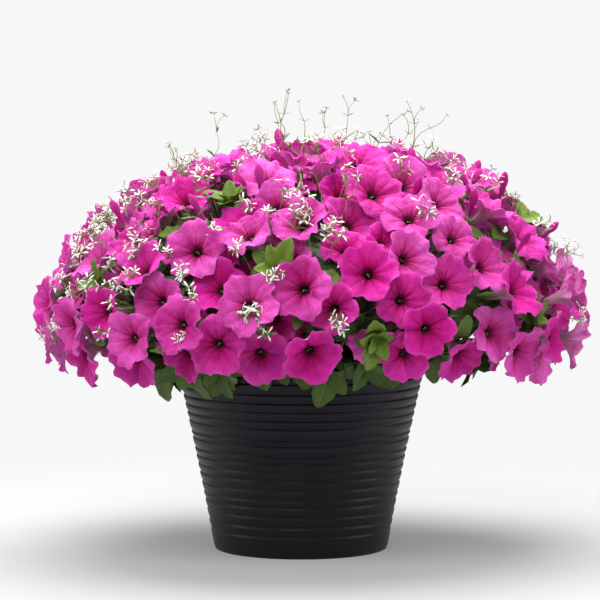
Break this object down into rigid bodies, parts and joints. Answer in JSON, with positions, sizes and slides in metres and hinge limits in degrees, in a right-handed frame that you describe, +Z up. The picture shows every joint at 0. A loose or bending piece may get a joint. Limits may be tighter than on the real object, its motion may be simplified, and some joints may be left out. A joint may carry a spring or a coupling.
{
  "type": "potted petunia plant",
  "caption": "Rounded mound of rose-pink petunias with airy white euphorbia, planted in a free-standing ribbed charcoal pot.",
  "frame": {"origin": "centre of the pot's flat underside, on the surface that it stands on", "axes": "+Z up along the pot's axis; +X to the right and -Y towards the viewer, as the picture shows it"},
  "size_m": [0.5944, 0.5771, 0.4798],
  "materials": {
    "pot": "moulded charcoal plastic with fine horizontal ribs, matte with a soft sheen",
    "soil": "crumbly dark potting mix with bark and white perlite",
    "petals": "soft velvety rose-pink petals with darker veins and a dark throat",
    "foliage": "mid-green slightly downy leaves and stems",
    "euphorbia": "small white bracts on thin green stems"
  },
  "bodies": {
    "root": {"bloom_bunch_01": "petals", "bloom_bunch_02": "petals", "bloom_bunch_03": "petals", "bloom_bunch_04": "petals", "bloom_bunch_05": "petals", "bloom_bunch_06": "petals", "bloom_bunch_07": "petals", "bloom_bunch_08": "petals", "bloom_bunch_09": "petals", "bloom_bunch_10": "petals", "bloom_bunch_11": "petals", "bloom_bunch_12": "petals", "bloom_bunch_13": "petals", "bloom_bunch_14": "petals", "bloom_bunch_15": "petals", "bloom_bunch_16": "petals", "bloom_bunch_17": "petals", "bloom_bunch_18": "petals", "bloom_bunch_19": "petals", "bloom_bunch_20": "petals", "bloom_bunch_21": "petals", "bloom_bunch_22": "petals", "bloom_bunch_23": "petals", "bloom_bunch_24": "petals", "bloom_bunch_25": "petals", "bloom_bunch_26": "petals", "bloom_bunch_27": "petals", "bloom_bunch_28": "petals", "bloom_bunch_29": "petals", "bloom_bunch_30": "petals", "bloom_bunch_31": "petals", "bloom_bunch_32": "petals", "bloom_bunch_33": "petals", "bloom_bunch_34": "petals", "euphorbia_spray_01": "euphorbia", "euphorbia_spray_02": "euphorbia", "euphorbia_spray_03": "euphorbia", "euphorbia_spray_04": "euphorbia", "euphorbia_spray_05": "euphorbia", "euphorbia_spray_06": "euphorbia", "euphorbia_spray_07": "euphorbia", "euphorbia_spray_08": "euphorbia", "petunia_stem_01": "foliage", "petunia_stem_02": "foliage", "petunia_stem_03": "foliage", "petunia_stem_04": "foliage", "petunia_stem_05": "foliage", "petunia_stem_06": "foliage", "petunia_stem_07": "foliage", "petunia_stem_08": "foliage", "petunia_stem_09": "foliage", "petunia_stem_10": "foliage", "petunia_stem_11": "foliage", "petunia_stem_12": "foliage", "petunia_stem_13": "foliage", "petunia_stem_14": "foliage", "pot": "pot", "soil": "soil"}
  },
  "joints": []
}
